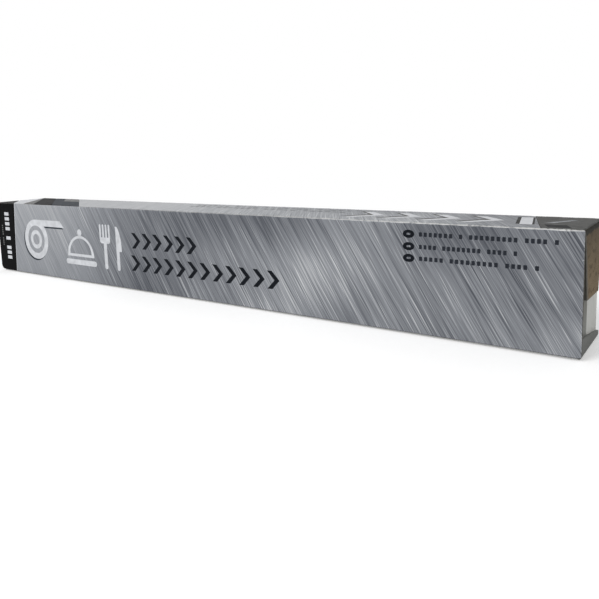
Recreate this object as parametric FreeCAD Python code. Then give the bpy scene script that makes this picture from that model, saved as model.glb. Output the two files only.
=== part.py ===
import FreeCAD, Part
import math
import os

# A long dispenser box of catering foil, closed. The tray is folded board and holds the roll.
# The lid turns on the fold along the top of the back wall. A flap hangs from the lid's front edge
# and covers the whole front, with a toothed cutter strip on its inner face. A short wing hangs from
# each end of the lid. Millimetres, +Z up, +X along the box, front towards -Y.
# The origin is the middle of the box's footprint, on the ground.

# The roll of foil and its core
FOIL_WIDTH = 450.0
ROLL_DIAMETER = 39.0
CORE_DIAMETER = 28.0
CORE_WALL = 2.0

# Corrugated board
BOARD = 1.6
FOLD_RADIUS = 1.2

# Room round the roll, inside the box
ROLL_END_ROOM = 3.4
ROLL_SIDE_ROOM = 0.65
ROLL_HEAD_ROOM = 16.0

# Clearances
ROLL_SEAT_GAP = 0.2
CORE_FIT = 0.1
HINGE_GAP = 0.1
WING_GAP = 0.4
CUTTER_ROOM = 0.9
LID_GAP = 0.4

# How close two corners have to lie to count as one, where the lid's leaves cross
CORNER_TOLERANCE = 0.0001

# The tray's front wall, and the end flaps that are folded up from its floor and glued
FRONT_WALL_HEIGHT = 46.0
END_FLAP_FRONT_HEIGHT = 9.5
END_FLAP_BACK_HEIGHT = 3.0
END_FLAP_BACK_SET_IN = 2.5

# The front flap of the lid
FRONT_FLAP_LIFT = 1.4
LEFT_CORNER_RADIUS = 4.0
RIGHT_CORNER_RADIUS = 1.0

# The wings at the ends of the lid
WING_FRONT_DROP = 33.0
WING_BACK_DROP = 34.0
WING_FRONT_GAP = 0.5
WING_BACK_SET_IN = 2.0
WING_TAPER = 7.0

# The cutter strip
CUTTER_LENGTH = 456.0
CUTTER_HEIGHT = 14.0
CUTTER_THICKNESS = 0.3
TOOTH_PITCH = 3.0
TOOTH_DEPTH = 1.6
TOOTH_SHOW = 1.0

# Sizes of the box, built up round the roll
box_length = FOIL_WIDTH + 2 * (ROLL_END_ROOM + BOARD + WING_GAP + BOARD)
box_depth = ROLL_DIAMETER + 2 * ROLL_SIDE_ROOM + 3 * BOARD + CUTTER_ROOM
box_height = BOARD + ROLL_SEAT_GAP + ROLL_DIAMETER + ROLL_HEAD_ROOM + BOARD
half_length = box_length / 2
half_depth = box_depth / 2

# Outer faces of the tray, and the middle of the roll
tray_half_length = half_length - BOARD - WING_GAP
tray_front = -half_depth + BOARD + CUTTER_ROOM
end_panel_height = box_height - BOARD - LID_GAP
roll_y = (tray_front + half_depth) / 2
roll_z = BOARD + ROLL_SEAT_GAP + ROLL_DIAMETER / 2

X = FreeCAD.Vector(1, 0, 0)
Y = FreeCAD.Vector(0, 1, 0)
Z = FreeCAD.Vector(0, 0, 1)


def point(x, y, z):
    return FreeCAD.Vector(x, y, z)


def line(a, b):
    return Part.makeLine(a, b)


def arc(centre, u_axis, v_axis, radius, start, end):
    """An arc in the plane of two axes, from one angle to another, in degrees."""
    def on_arc(angle):
        a = math.radians(angle)
        return centre + u_axis * (radius * math.cos(a)) + v_axis * (radius * math.sin(a))
    return Part.Arc(on_arc(start), on_arc((start + end) / 2), on_arc(end)).toShape()


def prism(edges, extrusion):
    """A solid from a closed chain of edges, drawn out along a vector."""
    wire = Part.Wire(Part.__sortEdges__(edges))
    return Part.Face(wire).extrude(extrusion)


def polygon_prism(points, extrusion):
    return Part.Face(Part.makePolygon(points + points[:1])).extrude(extrusion)


def mitre_start():
    """Where a mitre face meets the rounded outside of its fold, along the leaf and into it."""
    shift = HINGE_GAP / math.sqrt(2)
    into = FOLD_RADIUS - (shift + math.sqrt(2 * FOLD_RADIUS ** 2 - shift ** 2)) / 2
    return into + shift, into


def folded_end(corner, along, inward):
    """The end of a leaf at a fold that opens: a rounded outside and a mitre face towards its neighbour.

    Returns the two edges, and the points where they leave the outer and the inner face."""
    u, w = mitre_start()
    angle = math.degrees(math.atan2(w - FOLD_RADIUS, u - FOLD_RADIUS))
    centre = corner + along * FOLD_RADIUS + inward * FOLD_RADIUS
    rounded = arc(centre, along, inward, FOLD_RADIUS, angle, -90)
    tip = corner + along * u + inward * w
    inner = corner + along * (BOARD + HINGE_GAP / math.sqrt(2)) + inward * BOARD
    return [rounded, line(tip, inner)], corner + along * FOLD_RADIUS, inner


def cut_end(corner, along, inward, length):
    """The square cut end of a leaf, with its outer and inner points."""
    outer = corner + along * length
    inner = outer + inward * BOARD
    return [line(outer, inner)], outer, inner


def hinged_leaf(corner, along, inward, across, length):
    """A flat leaf of board that hangs from a fold at its corner and ends in a square cut."""
    fold, outer_a, inner_a = folded_end(corner, along, inward)
    cut, outer_b, inner_b = cut_end(corner, along, inward, length)
    faces = [line(outer_a, outer_b), line(inner_a, inner_b)]
    return prism(fold + cut + faces, across)


def bridging_leaf(corner, along, inward, across, length):
    """A flat leaf of board with a fold that opens at both of its ends."""
    near, outer_a, inner_a = folded_end(corner, along, inward)
    far, outer_b, inner_b = folded_end(corner + along * length, -along, inward)
    faces = [line(outer_a, outer_b), line(inner_a, inner_b)]
    return prism(near + far + faces, across)


def round_corner(solid, x, z, radius):
    """Rounds the upright corner of a leaf that runs through the board at one x and z."""
    def at_corner(edge):
        return all(abs(v.X - x) < 0.01 and abs(v.Z - z) < 0.01 for v in edge.Vertexes)
    return solid.makeFillet(radius, [e for e in solid.Edges if at_corner(e)])


def lid():
    """The top panel: a plate with a fold along each of its four edges."""
    corner = point(-half_length, -half_depth, box_height)
    front_to_back = bridging_leaf(corner, Y, -Z, X * box_length, box_depth)
    end_to_end = bridging_leaf(corner, X, -Z, Y * box_depth, box_length)
    return front_to_back.common([end_to_end], CORNER_TOLERANCE)


def front_flap():
    """The flap that covers the front, with rounded lower corners."""
    corner = point(-half_length, -half_depth, box_height)
    flap = hinged_leaf(corner, -Z, Y, X * box_length, box_height - FRONT_FLAP_LIFT)
    flap = round_corner(flap, -half_length, FRONT_FLAP_LIFT, LEFT_CORNER_RADIUS)
    return round_corner(flap, half_length, FRONT_FLAP_LIFT, RIGHT_CORNER_RADIUS)


def wing(side):
    """The wing at one end of the lid, side -1 for the left and 1 for the right: a tapered leaf."""
    longest = max(WING_FRONT_DROP, WING_BACK_DROP)
    corner = point(side * half_length, -half_depth, box_height)
    leaf = hinged_leaf(corner, -Z, X * -side, Y * box_depth, longest)
    front = -half_depth + BOARD + WING_FRONT_GAP
    back = half_depth - WING_BACK_SET_IN
    inner_x = side * (half_length - BOARD)
    outline = [
        point(inner_x, front, box_height),
        point(inner_x, back, box_height),
        point(inner_x, back - WING_TAPER, box_height - WING_BACK_DROP),
        point(inner_x, front + WING_TAPER, box_height - WING_FRONT_DROP),
    ]
    return leaf.common(polygon_prism(outline, X * (side * BOARD)))


def tray_channel():
    """Front wall, floor and back wall, folded from one length of board."""
    r = FOLD_RADIUS
    start = -tray_half_length
    hinge, hinge_outer, hinge_inner = folded_end(point(start, half_depth, box_height), -Z, -Y)
    inner_back = half_depth - BOARD
    inner_front = tray_front + BOARD
    edges = hinge + [
        line(hinge_outer, point(start, half_depth, r)),
        arc(point(start, half_depth - r, r), Y, Z, r, 0, -90),
        line(point(start, half_depth - r, 0), point(start, tray_front + r, 0)),
        arc(point(start, tray_front + r, r), Y, Z, r, -90, -180),
        line(point(start, tray_front, r), point(start, tray_front, FRONT_WALL_HEIGHT)),
        line(point(start, tray_front, FRONT_WALL_HEIGHT), point(start, inner_front, FRONT_WALL_HEIGHT)),
        line(point(start, inner_front, FRONT_WALL_HEIGHT), point(start, inner_front, BOARD)),
        line(point(start, inner_front, BOARD), point(start, inner_back, BOARD)),
        line(point(start, inner_back, BOARD), hinge_inner),
    ]
    return prism(edges, X * (2 * tray_half_length))


def end_panel(side):
    """The upright panel that closes one end of the tray, between the folds of its walls."""
    r = FOLD_RADIUS
    outer_x = side * tray_half_length
    edges = [
        arc(point(outer_x, half_depth - r, r), Y, Z, r, 0, -90),
        line(point(outer_x, half_depth - r, 0), point(outer_x, tray_front + r, 0)),
        arc(point(outer_x, tray_front + r, r), Y, Z, r, -90, -180),
        line(point(outer_x, tray_front, r), point(outer_x, tray_front, end_panel_height)),
        line(point(outer_x, tray_front, end_panel_height), point(outer_x, half_depth, end_panel_height)),
        line(point(outer_x, half_depth, end_panel_height), point(outer_x, half_depth, r)),
    ]
    return prism(edges, X * (-side * BOARD))


def end_flap(side):
    """The low flap folded up from the floor over one end panel, with a sloping top edge."""
    outer_x = side * (tray_half_length + BOARD)
    back = half_depth - END_FLAP_BACK_SET_IN
    outline = [
        point(outer_x, tray_front, 0),
        point(outer_x, back, 0),
        point(outer_x, back, END_FLAP_BACK_HEIGHT),
        point(outer_x, tray_front, END_FLAP_FRONT_HEIGHT),
    ]
    flap = polygon_prism(outline, X * (-side * BOARD))
    return round_corner(flap, outer_x, 0, FOLD_RADIUS)


def tray():
    """The tray: one folded and glued piece of board."""
    pieces = [end_panel(-1), end_panel(1), end_flap(-1), end_flap(1)]
    return tray_channel().fuse(pieces).removeSplitter()


def tube_along_box(outer_radius, inner_radius, length):
    start = point(-length / 2, roll_y, roll_z)
    outer = Part.makeCylinder(outer_radius, length, start, X)
    return outer.cut(Part.makeCylinder(inner_radius, length, start, X))


def foil_roll():
    """All the turns of the foil as one solid."""
    return tube_along_box(ROLL_DIAMETER / 2, CORE_DIAMETER / 2 + CORE_FIT, FOIL_WIDTH)


def core_tube():
    """The wound card tube that the foil is rolled on, as long as the foil is wide."""
    radius = CORE_DIAMETER / 2
    return tube_along_box(radius, radius - CORE_WALL, FOIL_WIDTH)


def cutter_strip():
    """The toothed strip on the inside of the front flap, with its teeth just below the flap's edge."""
    tip = FRONT_FLAP_LIFT - TOOTH_SHOW
    root = tip + TOOTH_DEPTH
    top = tip + CUTTER_HEIGHT
    face_y = -half_depth + BOARD
    teeth = max(1, int(CUTTER_LENGTH / TOOTH_PITCH))
    pitch = CUTTER_LENGTH / teeth
    left = -CUTTER_LENGTH / 2
    outline = [point(left, face_y, root)]
    for i in range(teeth):
        outline.append(point(left + (i + 0.5) * pitch, face_y, tip))
        outline.append(point(left + (i + 1) * pitch, face_y, root))
    outline.append(point(-left, face_y, top))
    outline.append(point(left, face_y, top))
    return polygon_prism(outline, Y * CUTTER_THICKNESS)


def main():
    nodes = {
        "tray": tray(),
        "foil_roll": foil_roll(),
        "core_tube": core_tube(),
        "lid": lid(),
        "front_flap": front_flap(),
        "cutter_strip": cutter_strip(),
        "left_wing": wing(-1),
        "right_wing": wing(1),
    }
    os.makedirs("parts", exist_ok=True)
    for name, shape in nodes.items():
        shape.exportStep("parts/" + name + ".step")
        box = shape.BoundBox
        size = "%.2f x %.2f x %.2f" % (box.XLength, box.YLength, box.ZLength)
        print(name, "solids", len(shape.Solids), "valid", shape.isValid(), "size", size)
    fold = mitre_start()
    print("fold axes lie", round(fold[0], 3), round(fold[1], 3), "mm in from the corners")
    print("box", box_length, box_depth, box_height, "roll middle", roll_y, roll_z)


main()
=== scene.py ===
import math

import bmesh
import bpy
from mathutils import Matrix, Vector, noise
from mathutils.geometry import delaunay_2d_cdt


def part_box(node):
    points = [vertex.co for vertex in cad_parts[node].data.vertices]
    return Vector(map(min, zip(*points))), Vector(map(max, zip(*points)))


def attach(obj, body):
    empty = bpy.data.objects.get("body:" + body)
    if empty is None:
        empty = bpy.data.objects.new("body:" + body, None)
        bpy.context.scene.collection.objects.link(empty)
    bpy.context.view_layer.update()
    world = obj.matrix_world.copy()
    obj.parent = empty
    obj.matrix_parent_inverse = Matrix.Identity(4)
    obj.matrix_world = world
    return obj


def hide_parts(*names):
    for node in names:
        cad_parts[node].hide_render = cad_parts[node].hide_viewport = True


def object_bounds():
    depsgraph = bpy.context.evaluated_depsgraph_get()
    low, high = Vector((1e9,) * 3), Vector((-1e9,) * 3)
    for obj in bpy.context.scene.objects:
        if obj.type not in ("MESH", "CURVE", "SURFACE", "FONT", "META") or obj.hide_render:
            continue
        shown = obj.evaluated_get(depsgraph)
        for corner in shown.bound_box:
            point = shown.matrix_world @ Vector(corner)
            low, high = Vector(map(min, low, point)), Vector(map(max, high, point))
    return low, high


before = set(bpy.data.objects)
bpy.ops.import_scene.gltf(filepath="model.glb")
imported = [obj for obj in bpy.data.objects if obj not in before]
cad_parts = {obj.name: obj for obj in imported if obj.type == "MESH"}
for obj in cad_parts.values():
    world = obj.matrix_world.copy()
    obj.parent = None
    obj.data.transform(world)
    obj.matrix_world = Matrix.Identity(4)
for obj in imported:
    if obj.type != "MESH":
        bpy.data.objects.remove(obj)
cad_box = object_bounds()

MM = 0.001

# Places read from the frame, in metres
low, high = cad_box
HALF_LENGTH = high.x
FRONT_Y = low.y
BACK_Y = high.y
TOP_Z = high.z
LENGTH = high.x - low.x
DEPTH = high.y - low.y
wing_low, wing_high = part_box("right_wing")
BOARD = wing_high.x - wing_low.x
FLAP_FOOT_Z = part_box("front_flap")[0].z
tray_low, tray_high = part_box("tray")
TRAY_FRONT_Y = tray_low.y
PANEL_X = tray_high.x - BOARD
roll_low, roll_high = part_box("foil_roll")
ROLL_MIDDLE = (roll_low + roll_high) / 2
ROLL_RADIUS = (roll_high.z - roll_low.z) / 2
core_low, core_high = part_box("core_tube")
CORE_MIDDLE = (core_low + core_high) / 2
CORE_RADIUS = (core_high.z - core_low.z) / 2

# The fold's rounded outside and the flap's corners, as in the solids
FOLD_RADIUS = 1.2 * MM
FOLD_START = 0.388 * MM
FOLD_RINGS = [u * MM for u in (0.5, 0.65, 0.85, 1.05, 1.25, 1.6)]
LEFT_CORNER_RADIUS = 4.0 * MM
RIGHT_CORNER_RADIUS = 1.0 * MM

# Corrugated board, in metres: its liner, and how far its medium lies back at a cut edge
LINER = 0.25 * MM
RECESS = 0.12 * MM

# The flutes' pitch, in millimetres, and the streaks' slope, in degrees
FLUTE_PITCH = 3.3
STREAK_ANGLE = 58.0

# The camera: the pixel of its optical axis, its focal length in pixels, its place and its aim
IMAGE_SIDE = 599
AXIS_PIXEL = (299.5, 230.0)
FOCAL_PIXELS = 620.9
CAMERA_PLACE = (0.28314, -0.30736, 0.09685)
CAMERA_AZIMUTH = 35.127
CAMERA_ELEVATION = 7.546
CAMERA_ROLL = -1.730

# The print's ground, from dark to pale, and the paper that shows where the print is worn
GROUND_TONES = ((70, 73, 80), (130, 133, 138), (204, 205, 207))
WORN_PAPER = (200, 201, 200)
INKS = {
    "black": (7, 7, 8),
    "dark": (20, 23, 28),
    "soft": (40, 43, 49),
    "shadow": (52, 56, 62),
    "pale": (193, 195, 199),
    "patch": (24, 24, 26),
    "stripe": (104, 104, 104),
    "shade": (92, 93, 95),
    "dusk": (56, 56, 54),
}
INK_GLOSS = {"ground": 0.28, "pale": 0.28, "black": 0.03, "patch": 0.01, "shadow": 0.01}
OTHER_INK_GLOSS = 0.04
FRONT_INKS = ["ground", "black", "dark", "soft", "shadow", "stripe", "pale"]
TOP_INKS = ["ground", "black", "patch", "shadow", "stripe", "shade", "pale", "dusk"]

# A cut edge's paper, in two colours, and the shade painted in the hollows of its flutes
BROWN_PAPER = ((96, 86, 68), (142, 128, 104))
BROWN_FLUTE_SHADE = (44, 38, 30)
GREY_PAPER = ((98, 97, 92), (136, 135, 130))
GREY_FLUTE_SHADE = (76, 74, 69)


def linear(value):
    v = value / 255
    return v / 12.92 if v <= 0.04045 else ((v + 0.055) / 1.055) ** 2.4


def colour(rgb):
    return tuple(linear(c) for c in rgb) + (1.0,)


# Node helpers

class Nodes:
    """A material's node tree, with short ways to add and join nodes."""

    def __init__(self, name):
        self.material = bpy.data.materials.new(name)
        self.material.use_nodes = True
        self.tree = self.material.node_tree
        self.tree.nodes.clear()
        self.output = self.tree.nodes.new("ShaderNodeOutputMaterial")

    def add(self, kind, inputs=(), **settings):
        node = self.tree.nodes.new("ShaderNode" + kind)
        for key, value in settings.items():
            setattr(node, key, value)
        for key, value in dict(inputs).items():
            self.put(node.inputs[key], value)
        return node

    def put(self, socket, value):
        if isinstance(value, bpy.types.NodeSocket):
            self.tree.links.new(value, socket)
        else:
            socket.default_value = value

    def math(self, operation, *values, clamp=False):
        node = self.add("Math", operation=operation, use_clamp=clamp)
        for socket, value in zip(node.inputs, values):
            self.put(socket, value)
        return node.outputs[0]

    def plus(self, a, b, clamp=False):
        return self.math("ADD", a, b, clamp=clamp)

    def minus(self, a, b):
        return self.math("SUBTRACT", a, b)

    def times(self, a, b, clamp=False):
        return self.math("MULTIPLY", a, b, clamp=clamp)

    def divided(self, a, b):
        return self.math("DIVIDE", a, b)

    def absolute(self, value):
        return self.math("ABSOLUTE", value)

    def larger(self, a, b):
        return self.math("MAXIMUM", a, b)

    def above(self, value, limit):
        return self.math("GREATER_THAN", value, limit)

    def below(self, value, limit):
        return self.math("LESS_THAN", value, limit)

    def length(self, a, b):
        return self.math("SQRT", self.plus(self.times(a, a), self.times(b, b)))

    def ramp(self, value, low_in, high_in, low_out=0.0, high_out=1.0, smooth=False):
        kind = "SMOOTHSTEP" if smooth else "LINEAR"
        node = self.add("MapRange", interpolation_type=kind)
        for socket, v in zip(node.inputs, (value, low_in, high_in, low_out, high_out)):
            self.put(socket, v)
        return node.outputs[0]

    def mix(self, factor, a, b):
        """A colour between a and b."""
        node = self.add("Mix", data_type="RGBA")
        self.put(node.inputs[0], factor)
        self.put(node.inputs[6], a)
        self.put(node.inputs[7], b)
        return node.outputs[2]

    def mix_number(self, factor, a, b):
        node = self.add("Mix", data_type="FLOAT")
        self.put(node.inputs[0], factor)
        self.put(node.inputs[2], a)
        self.put(node.inputs[3], b)
        return node.outputs[0]

    def noise(self, vector, scale=1.0, detail=2.0, roughness=0.5):
        inputs = {"Vector": vector, "Scale": scale, "Detail": detail, "Roughness": roughness}
        return self.add("TexNoise", inputs).outputs["Fac"]

    def place(self):
        """Object coordinates in millimetres, as a vector and as x, y and z."""
        coords = self.add("TexCoord").outputs["Object"]
        node = self.add("VectorMath", operation="SCALE")
        self.put(node.inputs[0], coords)
        node.inputs["Scale"].default_value = 1 / MM
        vector = node.outputs[0]
        split = self.add("SeparateXYZ", {0: vector})
        return vector, split.outputs[0], split.outputs[1], split.outputs[2]

    def combine(self, x, y, z=0.0):
        return self.add("CombineXYZ", {0: x, 1: y, 2: z}).outputs[0]

    def bump(self, height, distance, strength=1.0):
        inputs = {"Height": height, "Distance": distance, "Strength": strength}
        return self.add("Bump", inputs).outputs[0]

    def finish(self, shader):
        self.tree.links.new(shader, self.output.inputs[0])
        return self.material

    def paper(self, base, rough, normal, gloss):
        """Finish as paper, board or print. gloss is the specular level."""
        inputs = {"Base Color": base, "Roughness": rough, "Normal": normal,
                  "Specular IOR Level": gloss}
        return self.finish(self.add("BsdfPrincipled", inputs).outputs[0])

    def metal(self, base, rough, normal):
        inputs = {"Base Color": base, "Roughness": rough, "Normal": normal, "Metallic": 1.0}
        return self.finish(self.add("BsdfPrincipled", inputs).outputs[0])


# The printed ground. across and down are millimetres from the left end and a face's upper edge.

def streak_tone(n, across, down):
    """The brushed print: a tone about 0, streaked down to the right."""
    def layer(width, length, seed, turn=0.0, detail=1.0):
        """Streaks of one width and length, turned a little from the others."""
        angle = math.radians(STREAK_ANGLE + turn)
        c, s = math.cos(angle), math.sin(angle)
        along = n.plus(n.times(across, c), n.times(down, s))
        off = n.minus(n.times(across, s), n.times(down, c))
        vector = n.combine(n.divided(off, width), n.divided(along, length), seed)
        return n.minus(n.noise(vector, detail=detail), 0.5)

    broad = n.times(layer(8.0, 150.0, 3.1), 0.26)
    middle = n.times(layer(1.6, 90.0, 11.7, 0.8, 2.0), 0.5)
    fine = n.times(layer(0.5, 50.0, 27.3, -1.2, 2.0), 0.8)
    pale_lines = n.ramp(layer(0.6, 44.0, 41.9, 1.8), 0.1, 0.2, 0.0, 0.3)
    dark_lines = n.ramp(layer(0.7, 56.0, 65.2, -0.4), 0.1, 0.2, 0.0, -0.3)
    lines = n.plus(pale_lines, dark_lines)
    streaks = n.plus(n.plus(broad, middle), n.plus(fine, lines))
    # The streaks are faint at the left end and a little stronger low on a face
    strength = n.ramp(across, 30.0, 210.0, 0.25, 1.0, smooth=True)
    strength = n.times(strength, n.ramp(down, 15.0, 50.0, 1.0, 1.2))
    return n.times(streaks, strength)


def tone_colour(n, tone):
    """The ground's colour for a tone from 0 to 1."""
    ramp = n.add("ValToRGB", {0: tone})
    dark, middle, pale = GROUND_TONES
    ramp.color_ramp.elements[0].color = colour(dark)
    ramp.color_ramp.elements[1].color = colour(pale)
    ramp.color_ramp.elements.new(0.5).color = colour(middle)
    return ramp.outputs[0]


def front_ground(n, across, down):
    """The front's silver-grey ground: pale at the left, with a painted highlight and darker fields
    beyond.
    """
    left = n.ramp(across, 80.0, 195.0, 0.6, 0.24, smooth=True)
    left = n.plus(left, n.times(down, -0.0018))
    right = n.ramp(down, 2.0, 30.0, 0.13, 0.37, smooth=True)
    # A painted highlight: a paler field that leans to the left as it goes down
    highlight_middle, highlight_lean, highlight_reach = 352.0, 0.9, 55.0
    from_middle = n.absolute(n.minus(n.plus(across, n.times(down, highlight_lean)), highlight_middle))
    painted_highlight = n.ramp(from_middle, 0.0, highlight_reach, 1.0, 0.0, smooth=True)
    right = n.plus(right, n.times(painted_highlight, n.ramp(down, 5.0, 50.0, 0.29, 0.17)))
    # The last stretch is lighter above and below, and darker between
    middle_height = 27.0
    off_middle = n.ramp(n.absolute(n.minus(down, middle_height)), 8.0, 22.0, -0.4, 1.0)
    last_stretch = n.ramp(across, 425.0, 462.0, 0.0, 0.17)
    right = n.plus(right, n.times(off_middle, last_stretch))
    weight = n.ramp(across, 165.0, 265.0, smooth=True)
    base = n.plus(n.times(left, n.minus(1.0, weight)), n.times(right, weight))
    return tone_colour(n, n.plus(base, streak_tone(n, across, down), clamp=True))


def top_ground(n, across, down):
    """The top's ground: plain pale grey, turning streaked and darker to the right."""
    base = n.ramp(across, 180.0, 340.0, 0.7, 0.5, smooth=True)
    darker_back = n.times(n.ramp(down, 6.0, 44.0, -0.1, 0.04), n.ramp(across, 180.0, 340.0))
    base = n.plus(base, darker_back)
    base = n.plus(base, n.ramp(across, 388.0, 414.0, 0.0, -0.22, smooth=True))
    strength = n.ramp(across, 180.0, 330.0, 0.3, 0.8)
    streaks = n.times(streak_tone(n, across, down), strength)
    return tone_colour(n, n.plus(base, streaks, clamp=True))


def tray_ground(n, across, down):
    """The ground of the back, the underside and the tray's front wall."""
    base = n.ramp(across, 50.0, 240.0, 0.62, 0.46, smooth=True)
    return tone_colour(n, n.plus(base, streak_tone(n, across, down), clamp=True))


# Materials

def flute_wave(n, place):
    """A wave with the flutes' pitch, from -1 to 1. place is in millimetres, across the flutes."""
    return n.math("SINE", n.times(place, 2 * math.pi / FLUTE_PITCH))


def fibre_bump(n, vector, distance=0.00004):
    return n.bump(n.noise(vector, scale=1.4, detail=5.0), distance)


def print_bump(n, vector, down):
    """Paper grain, and the flutes, which run along the box, showing faintly through the print."""
    grain = n.noise(vector, scale=1.2, detail=4.0)
    clouds = n.times(n.noise(vector, scale=0.03, detail=2.0), 6.0)
    flutes = n.times(flute_wave(n, down), 0.1)
    return n.bump(n.plus(flutes, n.plus(grain, clouds)), 0.00003)


def printed(n, ink, vector, down, wear, gloss):
    """A satin print over paper. wear is a mask that shows bare pale paper."""
    base = n.mix(wear, ink, colour(WORN_PAPER))
    grain = n.noise(vector, scale=0.35, detail=4.0)
    rough = n.ramp(grain, 0.2, 0.8, 0.4, 0.54)
    return n.paper(base, rough, print_bump(n, vector, down), gloss)


def fold_wear(n, vector, across, distance_from_fold):
    """Where the print has worn along a fold: a thin pale line, stronger to the right."""
    broken = n.noise(vector, scale=0.5, detail=4.0, roughness=0.7)
    reach = n.plus(0.35, n.times(n.noise(vector, scale=0.2, detail=2.0), 0.7))
    near = n.ramp(n.minus(distance_from_fold, reach), -0.12, 0.12, 1.0, 0.0)
    worn = n.times(near, n.ramp(broken, 0.35, 0.5, 0.25, 1.0), clamp=True)
    return n.times(worn, n.ramp(across, 150.0, 400.0, 0.08, 1.0))


def corner_scuffs(n, vector, distance):
    """Small scuffs, within some millimetres of an edge."""
    spots = n.noise(vector, scale=0.7, detail=5.0, roughness=0.75)
    near = n.ramp(distance, 0.0, 2.2, 0.11, 0.0)
    return n.ramp(n.plus(spots, near), 0.71, 0.76, 0.0, 0.75)


def print_materials(prefix, inks, ground, upper_edge, along_y):
    """Materials of one printed face: its ground and each ink.

    upper_edge is the place of the face's upper edge, and along_y says that the face lies flat."""
    found = {}
    for name in inks:
        n = Nodes(prefix + "_print_" + name)
        vector, x, y, z = n.place()
        across = n.plus(x, HALF_LENGTH / MM)
        down = n.minus(upper_edge / MM, y if along_y else z)
        if name == "ground":
            base = ground(n, across, down)
        else:
            mottle = n.ramp(n.noise(vector, scale=0.25, detail=4.0), 0.3, 0.7, 0.88, 1.12)
            node = n.add("VectorMath", operation="SCALE")
            node.inputs[0].default_value = colour(INKS[name])[:3]
            n.put(node.inputs["Scale"], mottle)
            base = node.outputs[0]
        from_fold = n.minus(y, FRONT_Y / MM) if along_y else down
        from_end = n.minus(HALF_LENGTH / MM, n.absolute(x))
        worn = n.larger(fold_wear(n, vector, across, from_fold), corner_scuffs(n, vector, from_end))
        gloss = INK_GLOSS.get(name, OTHER_INK_GLOSS)
        found[name] = printed(n, base, vector, down, worn, gloss)
    return found


def kraft_base(n, vector, dark=(84, 72, 54), pale=(134, 117, 92)):
    """Flecked paper between two colours, and its flecks."""
    flecks = n.noise(vector, scale=2.4, detail=6.0, roughness=0.7)
    clouds = n.noise(vector, scale=0.09, detail=3.0)
    mixed = n.plus(n.times(flecks, 0.78), n.times(clouds, 0.22))
    return n.mix(n.ramp(mixed, 0.34, 0.66), colour(dark), colour(pale)), flecks


def kraft_material(name, across_flutes):
    """Bare brown liner, with flecks and the flutes showing faintly.

    across_flutes is 1 where y crosses the flutes and 2 where z does."""
    n = Nodes(name)
    vector, *place = n.place()
    base, flecks = kraft_base(n, vector)
    rough = n.ramp(flecks, 0.3, 0.7, 0.82, 0.93)
    flutes = n.times(flute_wave(n, place[across_flutes]), 0.2)
    return n.paper(base, rough, n.bump(n.plus(flutes, flecks), 0.00006), 0.2)


def wing_material():
    """A wing's outer face: bare liner with rubbed marks, and the dark print folded over its top."""
    n = Nodes("kraft_wing")
    vector, x, y, z = n.place()
    base, flecks = kraft_base(n, vector)
    down = n.minus(TOP_Z / MM, z)
    rubbed = n.noise(n.combine(n.times(y, 0.16), n.times(z, 0.34)), scale=1.0, detail=3.0)
    base = n.mix(n.ramp(rubbed, 0.54, 0.62, 0.0, 0.6), base, colour((66, 56, 42)))
    # The upper part is darker
    base = n.mix(n.ramp(down, 4.0, 22.0, 0.55, 0.0), base, colour((58, 50, 40)))
    # A grey margin along the front edge, widening lower down
    margin = n.minus(n.minus(y, FRONT_Y / MM), n.times(down, 0.3))
    ragged = n.ramp(n.noise(vector, scale=0.3, detail=3.0), 0.2, 0.8, -0.8, 0.8)
    margin = n.plus(margin, ragged)
    base = n.mix(n.ramp(margin, 2.0, 3.4, 0.75, 0.0), base, colour((98, 94, 86)))
    ragged = n.ramp(n.noise(vector, scale=0.35, detail=3.0), 0.2, 0.8, -0.9, 0.9)
    edge = n.plus(down, ragged)
    base = n.mix(n.ramp(edge, 2.4, 3.4, 1.0, 0.0), base, colour((38, 36, 30)))
    height = n.plus(n.times(flute_wave(n, y), 0.25), flecks)
    return n.paper(base, 0.86, n.bump(height, 0.00006), 0.2)


def flute_shade(n, along_edge, depth):
    """A cut edge of corrugated board: 1 on paper and 0 in a flute's hollow.

    along_edge and depth are in millimetres, depth from one face of the board."""
    wave = n.times(flute_wave(n, along_edge), 0.5)
    middle = BOARD / MM / 2
    off = n.absolute(n.minus(n.minus(depth, middle), wave))
    medium = n.ramp(off, 0.12, 0.24, 1.0, 0.0)
    liners = n.ramp(n.absolute(n.minus(depth, middle)), middle - 0.3, middle - 0.22)
    return n.larger(medium, liners)


def edge_material(name, along_axis, depth_from, paper=BROWN_PAPER, hollow_shade=BROWN_FLUTE_SHADE):
    """The cut edge of a leaf, with its flutes.

    along_axis is 0, 1 or 2, and depth_from is (axis, place of the leaf's outer face)."""
    n = Nodes(name)
    vector, *place = n.place()
    axis, face = depth_from
    depth = n.absolute(n.minus(n.absolute(place[axis]), abs(face) / MM))
    shade = flute_shade(n, place[along_axis], depth)
    base, flecks = kraft_base(n, vector, *paper)
    # The flutes' hollows get a dark colour: painted shade
    base = n.mix(shade, colour(hollow_shade), base)
    return n.paper(base, 0.9, n.bump(shade, 0.0002), 0.15)


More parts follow.
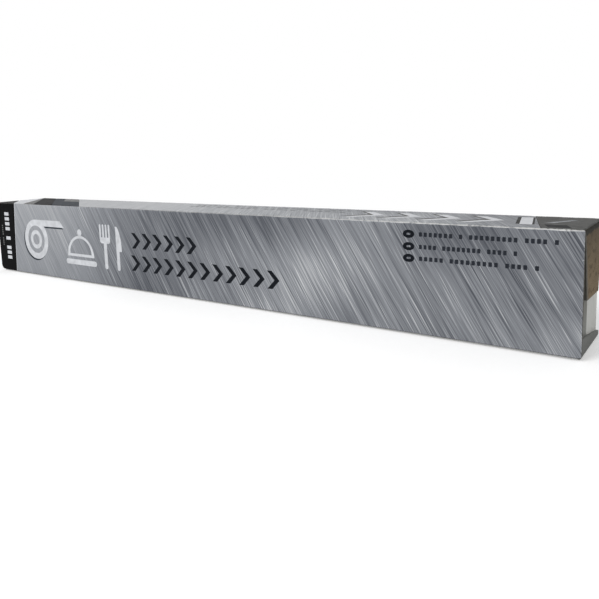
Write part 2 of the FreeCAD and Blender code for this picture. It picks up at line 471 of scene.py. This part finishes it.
def tray_material():
    """The tray: print outside, pale paper at its ends, bare liner inside, flutes on cut edges."""
    n = Nodes("tray_board")
    vector, x, y, z = n.place()
    normal = n.add("SeparateXYZ", {0: n.add("TexCoord").outputs["Normal"]})
    across = n.plus(x, HALF_LENGTH / MM)
    band_edge = 24.5
    ground = tray_ground(n, across, n.minus(z, y))
    beyond_band = n.ramp(across, band_edge - 0.1, band_edge + 0.1)
    outside_print = n.mix(beyond_band, colour(INKS["black"]), ground)
    kraft, flecks = kraft_base(n, vector)
    # The print lies on the outer faces of the front wall, the back wall and the floor
    behind = n.above(n.plus(y, normal.outputs[1]), BACK_Y / MM + 0.3)
    under = n.below(n.plus(z, normal.outputs[2]), 0.3)
    before = n.below(n.plus(y, normal.outputs[1]), TRAY_FRONT_Y / MM - 0.3)
    outside = n.larger(n.larger(behind, under), before)
    base = n.mix(outside, kraft, outside_print)
    # The ends: pale paper, a grey field over their front part that is darker higher up, and the
    # dark end flaps
    width = n.absolute(x)
    end = n.above(width, PANEL_X / MM - 0.1)
    end_flap = n.above(width, PANEL_X / MM + 0.3)
    streaky = n.noise(n.combine(n.times(y, 0.5), n.times(z, 0.08)), detail=4.0)
    paper = n.mix(streaky, colour((180, 181, 177)), colour((208, 209, 205)))
    front_field = n.ramp(n.plus(y, n.times(streaky, 1.6)), -2.0, -0.8, 1.0, 0.0)
    front_field_grey = n.mix(n.ramp(z, 8.0, 26.0), colour((126, 127, 123)), colour((104, 103, 96)))
    paper = n.mix(front_field, paper, front_field_grey)
    base = n.mix(end, base, paper)
    base = n.mix(end_flap, base, n.mix(streaky, colour((92, 93, 90)), colour((112, 113, 110))))
    # Cut edges that face up, above the floor, with shade painted in their flutes' hollows
    up = n.above(normal.outputs[2], 0.7)
    floor_limit = 20.0
    high_up = n.above(z, floor_limit)
    at_front = n.below(y, TRAY_FRONT_Y / MM + 2.0)
    front_edge = flute_shade(n, y, n.minus(y, TRAY_FRONT_Y / MM))
    end_edge = flute_shade(n, y, n.minus(PANEL_X / MM, width))
    shade = n.mix_number(at_front, end_edge, front_edge)
    cut = n.mix(shade, colour(BROWN_FLUTE_SHADE), colour((138, 124, 100)))
    base = n.mix(n.times(up, high_up), base, cut)
    return n.paper(base, 0.6, fibre_bump(n, vector), 0.25)


def from_axis(n, y, z, middle):
    """Offsets in y and z from the axis of the roll or its core, in millimetres."""
    return n.minus(y, middle.y / MM), n.minus(z, middle.z / MM)


def foil_material():
    """Bright rolled foil: fine roll lines along the sheet, faint creases, and rings at the ends."""
    n = Nodes("foil_bright")
    vector, x, y, z = n.place()
    radius = n.length(*from_axis(n, y, z, ROLL_MIDDLE))
    at_end = n.above(n.absolute(x), roll_high.x / MM - 0.6)
    rings = n.noise(n.combine(n.times(radius, 6.0), n.times(y, 0.05), 7.0), detail=3.0)
    lines = n.noise(n.combine(n.times(x, 2.2), n.times(y, 0.03), n.times(z, 0.03)), detail=3.0)
    creases = n.noise(vector, scale=0.12, detail=6.0, roughness=0.6)
    shade = n.times(at_end, n.ramp(rings, 0.35, 0.65, 0.75, 0.1))
    base = n.mix(creases, colour((206, 208, 211)), colour((228, 229, 231)))
    base = n.mix(shade, base, colour((112, 114, 118)))
    rough = n.plus(n.ramp(lines, 0.3, 0.7, 0.2, 0.32), n.times(at_end, 0.18))
    height = n.plus(creases, n.times(n.times(rings, at_end), 0.6))
    return n.metal(base, rough, n.bump(height, 0.0004, 0.5))


def steel_material():
    """The cutter: steel brushed along its length, with a dark oiled film in patches."""
    n = Nodes("cutter_steel_brushed")
    vector, x, y, z = n.place()
    lines = n.noise(n.combine(n.times(x, 0.05), y, n.times(z, 6.0)), detail=3.0)
    film = n.noise(vector, scale=0.05, detail=3.0)
    base = n.mix(lines, colour((140, 140, 142)), colour((182, 182, 183)))
    base = n.mix(n.ramp(film, 0.5, 0.75, 0.0, 0.4), base, colour((104, 103, 102)))
    return n.metal(base, n.ramp(lines, 0.3, 0.7, 0.28, 0.42), n.bump(lines, 0.00003))


def core_material():
    """Spiral-wound card: dark seams at an even pitch along the tube, and plies at its ends."""
    n = Nodes("core_card_wound")
    vector, x, y, z = n.place()
    seam_pitch = 62.0
    dy, dz = from_axis(n, y, z, CORE_MIDDLE)
    turn = n.divided(n.math("ARCTAN2", dz, dy), 2 * math.pi)
    turn = n.math("FRACT", n.plus(n.divided(x, seam_pitch), turn))
    seam = n.ramp(n.absolute(n.minus(turn, 0.5)), 0.0, 0.012, 1.0, 0.0)
    at_end = n.above(n.absolute(x), core_high.x / MM - 0.2)
    # Plies half a millimetre thick
    rings = n.math("SINE", n.times(n.length(dy, dz), 12.5))
    plies = n.times(at_end, n.ramp(rings, 0.2, 0.8, 0.0, 0.6))
    base, flecks = kraft_base(n, vector, (116, 98, 74), (168, 146, 116))
    base = n.mix(n.larger(seam, plies), base, colour((84, 68, 50)))
    return n.paper(base, 0.85, fibre_bump(n, vector, 0.00008), 0.2)


# Mesh helpers

def new_piece(name, mesh, materials, body):
    """A visual piece that rides on a body of the frame."""
    mesh.name = name
    piece = bpy.data.objects.new(name, mesh)
    bpy.context.scene.collection.objects.link(piece)
    for m in materials:
        mesh.materials.append(m)
    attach(piece, body)
    return piece


def finished(mesh, sharp_angle=None):
    """A smooth mesh from a bmesh, with edges of more than sharp_angle degrees kept sharp."""
    bmesh.ops.recalc_face_normals(mesh, faces=mesh.faces)
    out = bpy.data.meshes.new("mesh")
    mesh.to_mesh(out)
    mesh.free()
    out.shade_smooth()
    if sharp_angle is not None:
        out.set_sharp_from_angle(angle=math.radians(sharp_angle))
    return out


def fold_drop(u):
    """How far the rounded outside of a fold lies behind the flat face, u from the corner."""
    if u >= FOLD_RADIUS:
        return 0.0
    inner = FOLD_RADIUS - max(u, 0.0)
    return FOLD_RADIUS - math.sqrt(max(FOLD_RADIUS ** 2 - inner ** 2, 0.0))


# How far a mitred edge stands back from the diagonal of its fold
FOLD_GAP = FOLD_START - fold_drop(FOLD_START)


def anticlockwise(points):
    area = sum(a[0] * b[1] - b[0] * a[1] for a, b in zip(points, points[1:] + points[:1]))
    return points if area > 0 else points[::-1]


def finely(points, step):
    """A closed loop with points at most one step apart."""
    out = []
    for a, b in zip(points, points[1:] + points[:1]):
        a, b = Vector(a), Vector(b)
        count = max(1, math.ceil((b - a).length / step))
        out += [tuple(a.lerp(b, i / count)) for i in range(count)]
    return out


def inside(point, loop):
    x, y = point
    hit = False
    for (ax, ay), (bx, by) in zip(loop, loop[1:] + loop[:1]):
        if (ay > y) != (by > y) and x < (bx - ax) * (y - ay) / (by - ay) + ax:
            hit = not hit
    return hit


def flat_faces(loops, points):
    """Triangles over the first loop: flat points, and (triangle, indices of the loops round it)."""
    verts, faces = [], []
    for loop in loops:
        faces.append(list(range(len(verts), len(verts) + len(loop))))
        verts += [Vector(p) for p in loop]
    verts += [Vector(p) for p in points]
    flat, _, tris, _, _, owners = delaunay_2d_cdt(verts, [], faces, 1, 1e-7)
    return flat, [(tri, owner) for tri, owner in zip(tris, owners) if 0 in owner]


def rim(tris):
    """The points round a set of flat triangles, in order."""
    sides = {(a, b) for tri, _ in tris for a, b in zip(tri, tri[1:] + tri[:1])}
    ahead = dict(side for side in sides if side[::-1] not in sides)
    loop = [min(ahead)]
    while ahead[loop[-1]] != loop[0]:
        loop.append(ahead[loop[-1]])
    return loop


def leaf(outline, shapes, grid, place, squeeze, back, edges):
    """One leaf of corrugated board, as a mesh.

    outline and grid are flat points, and shapes are (loop, material index). place(a, b, depth) is
    the point of the frame below a flat point, and squeeze(a, b, depth) moves a flat point in at a
    mitred fold. back is the inner face's material index, and edges(a, b) is a cut edge's."""
    outline = anticlockwise(outline)
    mesh = bmesh.new()
    loops = [outline] + [anticlockwise(loop) for loop, _ in shapes]
    flat, tris = flat_faces(loops, [p for p in grid if inside(p, outline)])
    outer = [mesh.verts.new(place(p.x, p.y, 0.0)) for p in flat]
    for tri, owner in tris:
        face = mesh.faces.new([outer[i] for i in tri])
        uppermost = max(owner)
        face.material_index = shapes[uppermost - 1][1] if uppermost > 0 else 0
    # The sides start from the points where shapes cross the outline, too
    outline = [tuple(flat[i]) for i in rim(tris)]
    count = len(outline)
    # At a cut edge the medium between the liners lies back a little
    inward = []
    for i, point in enumerate(outline):
        before, after = Vector(outline[i - 1]), Vector(outline[(i + 1) % count])
        along = (after - before).normalized()
        folded = (Vector(squeeze(*point, BOARD)) - Vector(point)).length > 1e-9
        inward.append(Vector((-along.y, along.x)) * (0.0 if folded else RECESS))
    medium = LINER * 1.2
    steps = ((0.0, 0), (LINER, 0), (medium, 1), (BOARD - medium, 1), (BOARD - LINER, 0), (BOARD, 0))
    rings = []
    for depth, recessed in steps:
        ring = []
        for point, move in zip(outline, inward):
            a, b = squeeze(*point, depth)
            ring.append(mesh.verts.new(place(a + move.x * recessed, b + move.y * recessed, depth)))
        rings.append(ring)
    for ring, below in zip(rings, rings[1:]):
        for i in range(count):
            j = (i + 1) % count
            face = mesh.faces.new([ring[i], below[i], below[j], ring[j]])
            middle = (Vector(outline[i]) + Vector(outline[j])) / 2
            face.material_index = edges(middle.x, middle.y)
    inner_outline = [squeeze(*point, BOARD) for point in outline]
    flat, tris = flat_faces([inner_outline], [])
    inner = [mesh.verts.new(place(p.x, p.y, BOARD)) for p in flat]
    for tri, _ in tris:
        face = mesh.faces.new([inner[i] for i in reversed(tri)])
        face.material_index = back
    loose = [v for v in mesh.verts if not v.link_faces]
    bmesh.ops.delete(mesh, geom=loose, context="VERTS")
    bmesh.ops.remove_doubles(mesh, verts=mesh.verts, dist=3e-6)
    bmesh.ops.dissolve_degenerate(mesh, edges=mesh.edges, dist=1e-7)
    return finished(mesh, 35)


# Flat shapes. The print's are in millimetres.

def corner(cx, cy, r, a0, a1, steps=8):
    """An arc from a0 to a1 degrees."""
    angles = [math.radians(a0 + (a1 - a0) * i / steps) for i in range(steps + 1)]
    return [(cx + r * math.cos(a), cy + r * math.sin(a)) for a in angles]


def rounded_bar(x0, y0, x1, y1, radius, steps=4):
    radius = min(radius, (x1 - x0) / 2 - 0.01, (y1 - y0) / 2 - 0.01)
    points = []
    for cx, cy, start in ((x1 - radius, y1 - radius, 0), (x0 + radius, y1 - radius, 90),
                          (x0 + radius, y0 + radius, 180), (x1 - radius, y0 + radius, 270)):
        points += corner(cx, cy, radius, start, start + 90, steps)
    return points


def ellipse(cx, cy, rx, ry, steps=28):
    angles = [2 * math.pi * i / steps for i in range(steps)]
    return [(cx + rx * math.cos(a), cy + ry * math.sin(a)) for a in angles]


def arch(cx, cy, rx, ry, start=0, step=6):
    """An ellipse's upper half, from start degrees, 0 being its left end, to its right end."""
    angles = [math.radians(a) for a in range(start, 181, step)]
    return [(cx - rx * math.cos(a), cy - ry * math.sin(a)) for a in angles]


def chevron(x, y, width, height, stroke):
    """An arrowhead that points right."""
    tip, mid = x + width, y + height / 2
    return [(x, y), (x + stroke, y), (tip, mid), (x + stroke, y + height), (x, y + height),
            (tip - stroke, mid)]


def dashes(start, end, words, at, size, across=False):
    """Small blocks in a row, grouped as words gives their counts, from start to end.

    at is the row's centre line, size is (share of the pitch, height), and across stands the row
    on its end."""
    space = 0.9
    pitch = (end - start) / (sum(words) + space * (len(words) - 1))
    out = []
    place = start
    for count in words:
        for _ in range(count):
            a0, a1 = place, place + pitch * size[0]
            b0, b1 = at - size[1] / 2, at + size[1] / 2
            box = (b0, a0, b1, a1) if across else (a0, b0, a1, b1)
            out.append(rounded_bar(*box, 0.3, steps=2))
            place += pitch
        place += pitch * space
    return out


def pictograms(x, y):
    """A row of plain pictograms: a roll with its sheet, a dish cover, a fork and a knife."""
    parts = []

    def put(loop, ink):
        parts.append(([(x + px, y + py) for px, py in loop], ink))

    # The roll and its sheet, over their shadow
    for dx, dy, ink in ((-1.2, 1.2, "shadow"), (0.0, 0.0, "pale")):
        put(ellipse(17 + dx, 17 + dy, 16, 16, 48), ink)
        put([(17 + dx, 1 + dy), (50 + dx, 1 + dy), (55 + dx, 6 + dy), (17 + dx, 6 + dy)], ink)
    put(ellipse(17, 17, 11.2, 11.2, 40), "ground")
    put(ellipse(17, 17, 7.6, 7.6, 32), "pale")
    put(ellipse(17, 17, 4.4, 4.4, 24), "ground")
    # The cover, its plate and its knob
    put(arch(74, 27, 16, 16), "pale")
    put(arch(74, 25, 13, 12), "ground")
    put(rounded_bar(55.5, 29.4, 92.5, 33.4, 1.9), "pale")
    put(ellipse(74, 8.6, 2.6, 2.6, 20), "pale")
    # The fork
    for i in range(4):
        put(rounded_bar(98 + 3.3 * i, 1, 99.8 + 3.3 * i, 12, 0.8), "pale")
    put(rounded_bar(98, 10.5, 109.7, 15, 3.0), "pale")
    put(rounded_bar(102.2, 13.5, 105.6, 34, 1.6), "pale")
    # The knife
    put([(116, 20), (116, 2)] + arch(116, 20, 6, 18.6, 105, 15), "pale")
    put(rounded_bar(116, 18, 119.2, 34, 1.5), "pale")
    return parts


def front_shapes():
    """The shapes on the front and their inks, in millimetres from the left end and the top edge.

    Later shapes lie over earlier ones."""
    # The black band at the left end with its pale edge, and two rows of blocks standing on it
    shapes = [([(-1, -1), (26.5, -1), (22.5, 60), (-1, 60)], "black")]
    shapes.append(([(26.5, -1), (27.0, -1), (23.0, 60), (22.5, 60)], "pale"))
    shapes += [(loop, "pale") for loop in dashes(8, 49, (4, 1, 3), 13.9, (0.66, 6.4), across=True)]
    shapes += [(loop, "stripe") for loop in dashes(19, 37, (5, 4), 6.2, (0.6, 1.5), across=True)]
    shapes += pictograms(38, 11.5)
    for count, start, pitch, y in ((6, 171, 10.7, 17), (12, 169.5, 11, 33)):
        shapes += [(chevron(start + pitch * i, y, 9.2, 11, 3.7), "dark") for i in range(count)]
    # Three ovals, each with a row of blocks that ends at its own place
    rows = ((6.1, 454.5, (7, 1, 9, 4, 1)), (12.4, 436.6, (4, 8, 4, 1)), (18.4, 446.4, (5, 9, 4, 1)))
    for y, end, words in rows:
        shapes.append((ellipse(382, y, 3.15, 2.1), "dark"))
        shapes.append((rounded_bar(380.9, y - 0.5, 383.1, y + 0.5, 0.45), "ground"))
        shapes += [(loop, "soft") for loop in dashes(387.6, end, words, y, (0.64, 2.2))]
    return shapes


def top_shapes():
    """The shapes on the top and their inks, in millimetres from the left end and the back edge."""
    # The end of the front's black band, a pale wedge, and a dark field with a lighter back
    shapes = [([(-3, 22.4), (29, 48), (-3, 48)], "black")]
    shapes.append(([(-3, -1), (-2, -1), (42, 48), (29, 48), (-3, 22.4)], "pale"))
    shapes.append(([(-2, -1), (57, 48), (42, 48)], "stripe"))
    shapes.append(([(-2, -1), (16, -1), (82, 48), (57, 48)], "patch"))
    shapes.append(([(16, -1), (49, -1), (117, 48), (82, 48)], "shadow"))
    shapes.append(([(30, -1), (49, -1), (77, 19), (56, 19)], "stripe"))
    for y, words in ((10.5, (6, 4, 7, 5)), (18, (4, 7, 5, 6))):
        shapes += [(loop, "shade") for loop in dashes(202, 330, words, y, (0.7, 3.0))]
    # Four pale chevrons over their dark copies
    for i in range(4):
        for dx, dy, ink in ((-3.2, -1.2, "dusk"), (0.0, 0.0, "pale")):
            shapes.append((chevron(338 + 22 * i + dx, 11 + dy, 19, 25, 6.5), ink))
    # A dark field at the right end, and a pale bar with dark sides before it
    shapes.append(([(431.5, -1), (466, -1), (466, 60), (450, 60)], "dusk"))
    shapes.append(([(443, 27), (446.5, 27), (455, 13), (452, 13)], "ground"))
    shapes.append(([(444, 33), (454, 33), (458, 42), (448, 42)], "patch"))
    bar_x, bar_lean = 427.2, 6.2
    for offset, width, ink in ((-1.8, 1.8, "black"), (5.8, 1.0, "black"), (0.0, 5.8, "pale")):
        x0 = bar_x + offset
        x1 = x0 + width
        shapes.append(([(x0, 8), (x1, 8), (x1 + bar_lean, 35), (x0 + bar_lean, 35)], ink))
    return shapes


def ordered(shapes, inks):
    """Shapes in metres, with the index of each one's ink."""
    return [([(px * MM, py * MM) for px, py in loop], inks.index(ink)) for loop, ink in shapes]


# Pieces

def squeeze_at_top(a, b, depth):
    """A leaf's flat point at a depth, moved down where its upper edge is mitred."""
    return a, max(b, depth + FOLD_GAP)


def front_flap(kraft):
    """The front flap: its print, its board and its bare inner face."""
    prints = print_materials("front", FRONT_INKS, front_ground, TOP_Z, False)
    height = TOP_Z - FLAP_FOOT_Z
    left, right = LEFT_CORNER_RADIUS, RIGHT_CORNER_RADIUS
    outline = [(0, FOLD_START), (LENGTH, FOLD_START)]
    outline += corner(LENGTH - right, height - right, right, 0, 90)
    outline += corner(left, height - left, left, 90, 180)
    outline = finely(outline, 3 * MM)
    columns = [i * 2.5 * MM for i in range(1, 186)]
    grid = [(a, j * 2.5 * MM) for a in columns for j in range(1, 23)]
    grid += [(a, u) for a in columns for u in FOLD_RINGS]
    inner_face = len(FRONT_INKS)
    foot_edge = inner_face + 1
    end_edge = inner_face + 2

    def place(a, b, depth):
        return Vector((-HALF_LENGTH + a, FRONT_Y + max(fold_drop(b), depth), TOP_Z - b))

    def edges(a, b):
        return end_edge if a < 0.1 * MM or a > LENGTH - 0.1 * MM else foot_edge

    materials = [prints[i] for i in FRONT_INKS]
    materials += [kraft, edge_material("flap_foot_edge", 1, (1, FRONT_Y)),
                  edge_material("flap_end_edge", 2, (1, FRONT_Y), GREY_PAPER, GREY_FLUTE_SHADE)]
    shapes = ordered(front_shapes(), FRONT_INKS)
    mesh = leaf(outline, shapes, grid, place, squeeze_at_top, inner_face, edges)
    piece = new_piece("front_flap_board", mesh, materials, "front_flap")
    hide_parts("front_flap")


def lid(kraft):
    """The lid: its print, its board and its bare inner face. All four of its edges are folds."""
    prints = print_materials("top", TOP_INKS, top_ground, BACK_Y, True)
    start = FOLD_START
    outline = finely([(start, start), (LENGTH - start, start), (LENGTH - start, DEPTH - start),
                      (start, DEPTH - start)], 3 * MM)
    rows = FOLD_RINGS + [j * 2.5 * MM for j in range(1, 21)] + [DEPTH - u for u in FOLD_RINGS]
    columns = FOLD_RINGS + [i * 2.5 * MM for i in range(1, 185)] + [LENGTH - u for u in FOLD_RINGS]
    grid = [(a, b) for a in columns for b in rows]
    inner_face = len(TOP_INKS)

    def place(a, b, depth):
        edge = min(a, LENGTH - a, b, DEPTH - b)
        return Vector((-HALF_LENGTH + a, BACK_Y - b, TOP_Z - max(fold_drop(edge), depth)))

    def squeeze(a, b, depth):
        inset = depth + FOLD_GAP
        return min(max(a, inset), LENGTH - inset), min(max(b, inset), DEPTH - inset)

    def edges(a, b):
        return inner_face

    materials = [prints[i] for i in TOP_INKS] + [kraft]
    mesh = leaf(outline, ordered(top_shapes(), TOP_INKS), grid, place, squeeze, inner_face, edges)
    piece = new_piece("lid_board", mesh, materials, "lid")
    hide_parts("lid")


def wing(side, outer_look, kraft):
    """A wing of the lid, hanging down the end. side is -1 at the left and 1 at the right."""
    node = "right_wing" if side > 0 else "left_wing"
    box_low, box_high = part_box(node)
    taper = 7.0 * MM
    foot_rise = 1.0 * MM
    front, back = box_low.y, box_high.y
    back_drop = TOP_Z - box_low.z
    front_drop = back_drop - foot_rise
    outline = [(front, FOLD_START), (back, FOLD_START), (back - taper, back_drop),
               (front + taper, front_drop)]
    outline = finely(outline, 2 * MM)
    steps = [front + 2.5 * MM * i for i in range(1, 20)]
    grid = [(a, b) for a in steps for b in FOLD_RINGS + [j * 2.5 * MM for j in range(1, 15)]]
    inner_face, foot_edge, side_edge = 1, 2, 3

    def place(a, b, depth):
        return Vector((side * (HALF_LENGTH - max(fold_drop(b), depth)), a, TOP_Z - b))

    def edges(a, b):
        return foot_edge if b > front_drop - 0.1 * MM else side_edge

    outer_face = (0, HALF_LENGTH)
    materials = [outer_look, kraft, edge_material(node + "_foot_edge", 1, outer_face),
                 edge_material(node + "_side_edge", 0, outer_face, GREY_PAPER, GREY_FLUTE_SHADE)]
    mesh = leaf(outline, [], grid, place, squeeze_at_top, inner_face, edges)
    piece = new_piece(node + "_board", mesh, materials, node)
    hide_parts(node)


def roll(look):
    """The foil roll: wound, with faint dents, the step of its last turn, and uneven ends."""
    bore = CORE_RADIUS + 0.05 * MM
    half = roll_high.x
    around, rows, levels = 160, 150, 14
    seam_angle = math.radians(118)
    mesh = bmesh.new()

    def point(x, angle, r):
        return Vector((x, ROLL_MIDDLE.y + r * math.cos(angle), ROLL_MIDDLE.z + r * math.sin(angle)))

    def skin(x, turn):
        """The radius at x, turn being the share of a full turn from the last turn's edge."""
        angle = 2 * math.pi * turn
        c, s = math.cos(angle), math.sin(angle)
        dents = noise.fractal(Vector((x * 22, c * 1.6, s * 1.6)), 0.7, 2.0, 4)
        ridges = abs(noise.noise(Vector((x * 70, c * 2.2, s * 2.2))))
        depth = 0.02 + 0.2 * turn + 0.12 * min(abs(dents), 1.0) + 0.05 * ridges
        return ROLL_RADIUS - depth * MM

    def join(first, second, flip=False):
        """A band of faces between two rings, closed where the last turn ends."""
        for j in range(around):
            corners = [first[j], first[j + 1], second[j + 1], second[j]]
            mesh.faces.new(corners[::-1] if flip else corners)
        mesh.faces.new([first[around], first[0], second[0], second[around]])

    rings = []
    for i in range(rows + 1):
        x = -half + 2 * half * i / rows
        ring = []
        for j in range(around + 1):
            angle = seam_angle + 2 * math.pi * j / around
            ring.append(mesh.verts.new(point(x, angle, skin(x, j / around))))
        rings.append(ring)
    for a, b in zip(rings, rings[1:]):
        for j in range(around):
            mesh.faces.new([a[j], b[j], b[j + 1], a[j + 1]])
        mesh.faces.new([a[around], b[around], b[0], a[0]])
    bores = []
    for ring, x, side in ((rings[0], -half, 1), (rings[-1], half, -1)):
        outer = ring
        for k in range(1, levels + 1):
            share = k / levels
            inner = []
            for j in range(around + 1):
                angle = seam_angle + 2 * math.pi * j / around
                r = skin(x, j / around) * (1 - share) + bore * share
                spot = Vector((math.cos(angle) * 1.5, math.sin(angle) * 1.5,
                               r / MM * 1.3 + side * 9))
                inset = 0.0 if k == levels else 0.3 * MM * abs(noise.noise(spot))
                inner.append(mesh.verts.new(point(x + side * inset, angle, r)))
            join(outer, inner, flip=side < 0)
            outer = inner
        bores.append(outer)
    join(bores[1], bores[0])
    # In the bore the last turn has no step, so its two ends are one line of points
    bmesh.ops.remove_doubles(mesh, verts=mesh.verts, dist=1e-7)
    piece = new_piece("foil_roll_wound", finished(mesh, 40), [look], "tray")
    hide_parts("foil_roll")


def loose_end(look):
    """The foil's loose end, lifting off the top of the roll toward the front."""
    half = roll_high.x - 0.4 * MM
    lying = ROLL_RADIUS + 0.03 * MM
    thick = 0.05 * MM
    rows = 180
    # The sheet's section: on the roll up to leave_angle, then rising free, with its tip bent down
    leave_angle = 102
    free_steps, rising_steps = 12, 8
    path = []
    for angle in range(84, leave_angle + 1, 3):
        a = math.radians(angle)
        path.append((ROLL_MIDDLE.y + lying * math.cos(a), ROLL_MIDDLE.z + lying * math.sin(a)))
    lying_steps = len(path) - 1
    heading = math.radians(leave_angle + 90)
    y, z = path[-1]
    for k in range(1, free_steps + 1):
        heading += math.radians(-3.4 if k <= rising_steps else 9.0)
        y += math.cos(heading) * MM
        z += math.sin(heading) * MM
        path.append((y, z))
    last = len(path) - 1
    mesh = bmesh.new()
    sheets = ([], [])
    for i in range(rows + 1):
        x = -half + 2 * half * i / rows
        for top, store in zip((1, 0), sheets):
            line = []
            for k, (py, pz) in enumerate(path):
                free = max(0, k - lying_steps) / (last - lying_steps)
                ripple = noise.noise(Vector((x * 28, free * 1.5, 4.0))) * 0.9 * MM * free
                ragged = noise.noise(Vector((x * 160, 2.0, 8.0))) * 0.4 * MM * (k == last)
                line.append(mesh.verts.new((x, py + ragged, pz + ripple + thick * top)))
            store.append(line)
    for store in sheets:
        for a_line, b_line in zip(store, store[1:]):
            for k in range(last):
                mesh.faces.new([a_line[k], b_line[k], b_line[k + 1], a_line[k + 1]])
    upper, lower = sheets
    for k in (0, last):
        for i in range(rows):
            mesh.faces.new([upper[i][k], upper[i + 1][k], lower[i + 1][k], lower[i][k]])
    for i in (0, rows):
        for k in range(last):
            mesh.faces.new([upper[i][k], upper[i][k + 1], lower[i][k + 1], lower[i][k]])
    new_piece("foil_loose_end", finished(mesh), [look], "tray")


kraft_look = kraft_material("kraft_liner", 1)
wing_look = wing_material()
foil_look = foil_material()
front_flap(kraft_material("kraft_liner_upright", 2))
lid(kraft_look)
wing(-1, wing_look, kraft_look)
wing(1, wing_look, kraft_look)
roll(foil_look)
loose_end(foil_look)
solid_looks = {"tray": tray_material(), "core_tube": core_material(),
               "cutter_strip": steel_material()}
for node, look in solid_looks.items():
    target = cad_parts[node]
    target.data.materials.clear()
    target.data.materials.append(look)


# Floor, light and camera

def studio():
    """A pale floor that turns plain white away from the object, and a white world."""
    side = 8.0
    corners = [(-side, -side, 0), (side, -side, 0), (side, side, 0), (-side, side, 0)]
    mesh = bpy.data.meshes.new("floor")
    mesh.from_pydata(corners, [], [(0, 1, 2, 3)])
    floor = bpy.data.objects.new("floor", mesh)
    bpy.context.scene.collection.objects.link(floor)
    n = Nodes("floor_pale")
    vector, x, y, z = n.place()
    seen = n.add("LightPath").outputs["Is Camera Ray"]
    tone = n.ramp(n.noise(vector, scale=0.002), 0.3, 0.7, 0.84, 0.86)
    diffuse = n.add("BsdfDiffuse", {"Color": n.combine(tone, tone, tone)})
    white = (1, 1, 1, 1)
    lift = n.add("Emission", {"Color": white, "Strength": n.times(seen, 0.26)})
    near = n.add("AddShader", {0: diffuse.outputs[0], 1: lift.outputs[0]})
    # Away from the object the floor runs into a plain white ground
    beyond = n.larger(n.minus(n.absolute(x), 200.0), 0.0)
    far = n.times(n.ramp(n.length(beyond, y), 120.0, 420.0, smooth=True), seen)
    plain = n.add("Emission", {"Color": white, "Strength": 1.0})
    both = n.add("MixShader", {0: far, 1: near.outputs[0], 2: plain.outputs[0]})
    mesh.materials.append(n.finish(both.outputs[0]))

    # The world shows as white, also in reflections, and lights the object less
    world = bpy.data.worlds.new("studio")
    bpy.context.scene.world = world
    world.use_nodes = True
    tree = world.node_tree
    tree.nodes.clear()
    out = tree.nodes.new("ShaderNodeOutputWorld")
    background = tree.nodes.new("ShaderNodeBackground")
    background.inputs["Color"].default_value = white
    path = tree.nodes.new("ShaderNodeLightPath")
    largest = tree.nodes.new("ShaderNodeMath")
    largest.operation = "MAXIMUM"
    tree.links.new(path.outputs["Is Camera Ray"], largest.inputs[0])
    tree.links.new(path.outputs["Is Glossy Ray"], largest.inputs[1])
    strength = tree.nodes.new("ShaderNodeMapRange")
    tree.links.new(largest.outputs[0], strength.inputs[0])
    strength.inputs[3].default_value = 0.55
    strength.inputs[4].default_value = 1.0
    tree.links.new(strength.outputs[0], background.inputs["Strength"])
    tree.links.new(background.outputs[0], out.inputs[0])


def lamp(name, place, target, size, watts):
    """A soft round lamp that points at target."""
    data = bpy.data.lights.new(name, "AREA")
    data.shape = "DISK"
    data.size = size
    data.energy = watts
    lamp_object = bpy.data.objects.new(name, data)
    bpy.context.scene.collection.objects.link(lamp_object)
    lamp_object.location = place
    aim = Vector(target) - Vector(place)
    lamp_object.rotation_euler = aim.to_track_quat("-Z", "Y").to_euler()


def camera():
    """The camera at the photograph's viewing angle."""
    a, e, r = (math.radians(v) for v in (CAMERA_AZIMUTH, CAMERA_ELEVATION, CAMERA_ROLL))
    forward = Vector((-math.sin(a) * math.cos(e), math.cos(a) * math.cos(e), -math.sin(e)))
    right = Vector((math.cos(a), math.sin(a), 0))
    down = forward.cross(right)
    across = right * math.cos(r) - down * math.sin(r)
    downward = right * math.sin(r) + down * math.cos(r)
    turn = Matrix((across, -downward, -forward)).transposed()
    data = bpy.data.cameras.new("camera")
    data.sensor_width = 36.0
    data.lens = FOCAL_PIXELS / IMAGE_SIDE * data.sensor_width
    data.shift_x = (IMAGE_SIDE / 2 - AXIS_PIXEL[0]) / IMAGE_SIDE
    data.shift_y = (AXIS_PIXEL[1] - IMAGE_SIDE / 2) / IMAGE_SIDE
    data.clip_start = 0.01
    view = bpy.data.objects.new("camera", data)
    bpy.context.scene.collection.objects.link(view)
    view.matrix_world = Matrix.Translation(CAMERA_PLACE) @ turn.to_4x4()
    bpy.context.scene.camera = view


studio()
box_middle = (0, 0, 0.03)
lamp("key", (-0.5, -1.3, 1.1), box_middle, 1.2, 18)
lamp("fill", (1.2, -0.9, 0.9), box_middle, 1.0, 4)
camera()
bpy.context.scene.view_settings.view_transform = "Standard"
